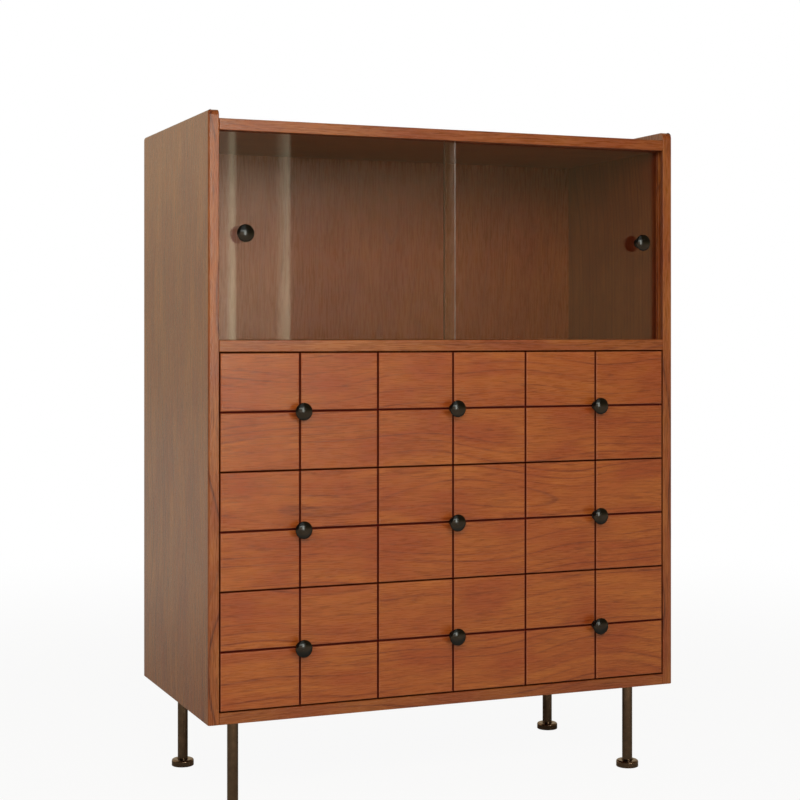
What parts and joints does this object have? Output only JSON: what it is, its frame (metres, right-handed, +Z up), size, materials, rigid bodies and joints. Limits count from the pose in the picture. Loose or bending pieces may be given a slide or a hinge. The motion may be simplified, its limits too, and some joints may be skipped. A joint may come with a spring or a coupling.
{
  "type": "chest of drawers with glazed compartment",
  "caption": "Cherry-stained wooden chest on slim metal legs: wide drawers with tile-scored fronts and domed black knobs under a compartment with sliding tinted glass panes.",
  "frame": {"origin": "on the floor under the middle of the whole object, drawer knobs counted", "axes": "+Z up, -Y out of the drawer fronts, +X to the right as seen from the front"},
  "size_m": [0.8, 0.422, 1.0649],
  "materials": {
    "cherry_wood": "cherry stain under satin lacquer",
    "drawer_box_wood": "clear matt lacquer",
    "tea_glass": "brown-tinted float glass, ground edges",
    "black_metal": "black satin enamel",
    "dark_bronze_metal": "polished dark bronze plating",
    "zinc_steel": "bright zinc plating"
  },
  "bodies": {
    "case": {"side_panel_left": "cherry_wood", "side_panel_right": "cherry_wood", "top_panel": "cherry_wood", "middle_shelf": "cherry_wood", "bottom_panel": "cherry_wood", "back_panel": "cherry_wood", "leg_front_left": "dark_bronze_metal", "leg_front_right": "dark_bronze_metal", "leg_rear_left": "dark_bronze_metal", "leg_rear_right": "dark_bronze_metal", "foot_front_left": "dark_bronze_metal", "foot_front_right": "dark_bronze_metal", "foot_rear_left": "dark_bronze_metal", "foot_rear_right": "dark_bronze_metal", "drawer_top_runner_outer_left": "zinc_steel", "drawer_top_runner_outer_right": "zinc_steel", "drawer_middle_runner_outer_left": "zinc_steel", "drawer_middle_runner_outer_right": "zinc_steel", "drawer_bottom_runner_outer_left": "zinc_steel", "drawer_bottom_runner_outer_right": "zinc_steel"},
    "pane_left": {"glass_pane_left": "tea_glass", "pane_knob_left": "black_metal"},
    "pane_right": {"glass_pane_right": "tea_glass", "pane_knob_right": "black_metal"},
    "drawer_top": {"drawer_top_front": "cherry_wood", "drawer_top_side_left": "drawer_box_wood", "drawer_top_side_right": "drawer_box_wood", "drawer_top_back": "drawer_box_wood", "drawer_top_base": "drawer_box_wood", "drawer_top_knob_left": "black_metal", "drawer_top_knob_centre": "black_metal", "drawer_top_knob_right": "black_metal", "drawer_top_runner_inner_left": "zinc_steel", "drawer_top_runner_inner_right": "zinc_steel"},
    "runner_top": {"drawer_top_runner_middle_left": "zinc_steel", "drawer_top_runner_middle_right": "zinc_steel"},
    "drawer_middle": {"drawer_middle_front": "cherry_wood", "drawer_middle_side_left": "drawer_box_wood", "drawer_middle_side_right": "drawer_box_wood", "drawer_middle_back": "drawer_box_wood", "drawer_middle_base": "drawer_box_wood", "drawer_middle_knob_left": "black_metal", "drawer_middle_knob_centre": "black_metal", "drawer_middle_knob_right": "black_metal", "drawer_middle_runner_inner_left": "zinc_steel", "drawer_middle_runner_inner_right": "zinc_steel"},
    "runner_middle": {"drawer_middle_runner_middle_left": "zinc_steel", "drawer_middle_runner_middle_right": "zinc_steel"},
    "drawer_bottom": {"drawer_bottom_front": "cherry_wood", "drawer_bottom_side_left": "drawer_box_wood", "drawer_bottom_side_right": "drawer_box_wood", "drawer_bottom_back": "drawer_box_wood", "drawer_bottom_base": "drawer_box_wood", "drawer_bottom_knob_left": "black_metal", "drawer_bottom_knob_centre": "black_metal", "drawer_bottom_knob_right": "black_metal", "drawer_bottom_runner_inner_left": "zinc_steel", "drawer_bottom_runner_inner_right": "zinc_steel"},
    "runner_bottom": {"drawer_bottom_runner_middle_left": "zinc_steel", "drawer_bottom_runner_middle_right": "zinc_steel"}
  },
  "joints": [
    {"name": "pane_left_slide", "type": "slide", "parent": "case", "child": "pane_left", "axis": [1, 0, 0], "range_m": [0, 0.31]},
    {"name": "pane_right_slide", "type": "slide", "parent": "case", "child": "pane_right", "axis": [1, 0, 0], "range_m": [-0.31, 0]},
    {"name": "drawer_top_slide", "type": "slide", "parent": "case", "child": "drawer_top", "axis": [0, -1, 0], "range_m": [0, 0.28]},
    {"name": "runner_top_slide", "type": "slide", "parent": "case", "child": "runner_top", "axis": [0, -1, 0], "range_m": [0, 0.14]},
    {"name": "drawer_middle_slide", "type": "slide", "parent": "case", "child": "drawer_middle", "axis": [0, -1, 0], "range_m": [0, 0.28]},
    {"name": "runner_middle_slide", "type": "slide", "parent": "case", "child": "runner_middle", "axis": [0, -1, 0], "range_m": [0, 0.14]},
    {"name": "drawer_bottom_slide", "type": "slide", "parent": "case", "child": "drawer_bottom", "axis": [0, -1, 0], "range_m": [0, 0.28]},
    {"name": "runner_bottom_slide", "type": "slide", "parent": "case", "child": "runner_bottom", "axis": [0, -1, 0], "range_m": [0, 0.14]}
  ],
  "couplings": [
    {"joint": "runner_top_slide", "follows": "drawer_top_slide", "ratio": 0.5},
    {"joint": "runner_middle_slide", "follows": "drawer_middle_slide", "ratio": 0.5},
    {"joint": "runner_bottom_slide", "follows": "drawer_bottom_slide", "ratio": 0.5}
  ]
}
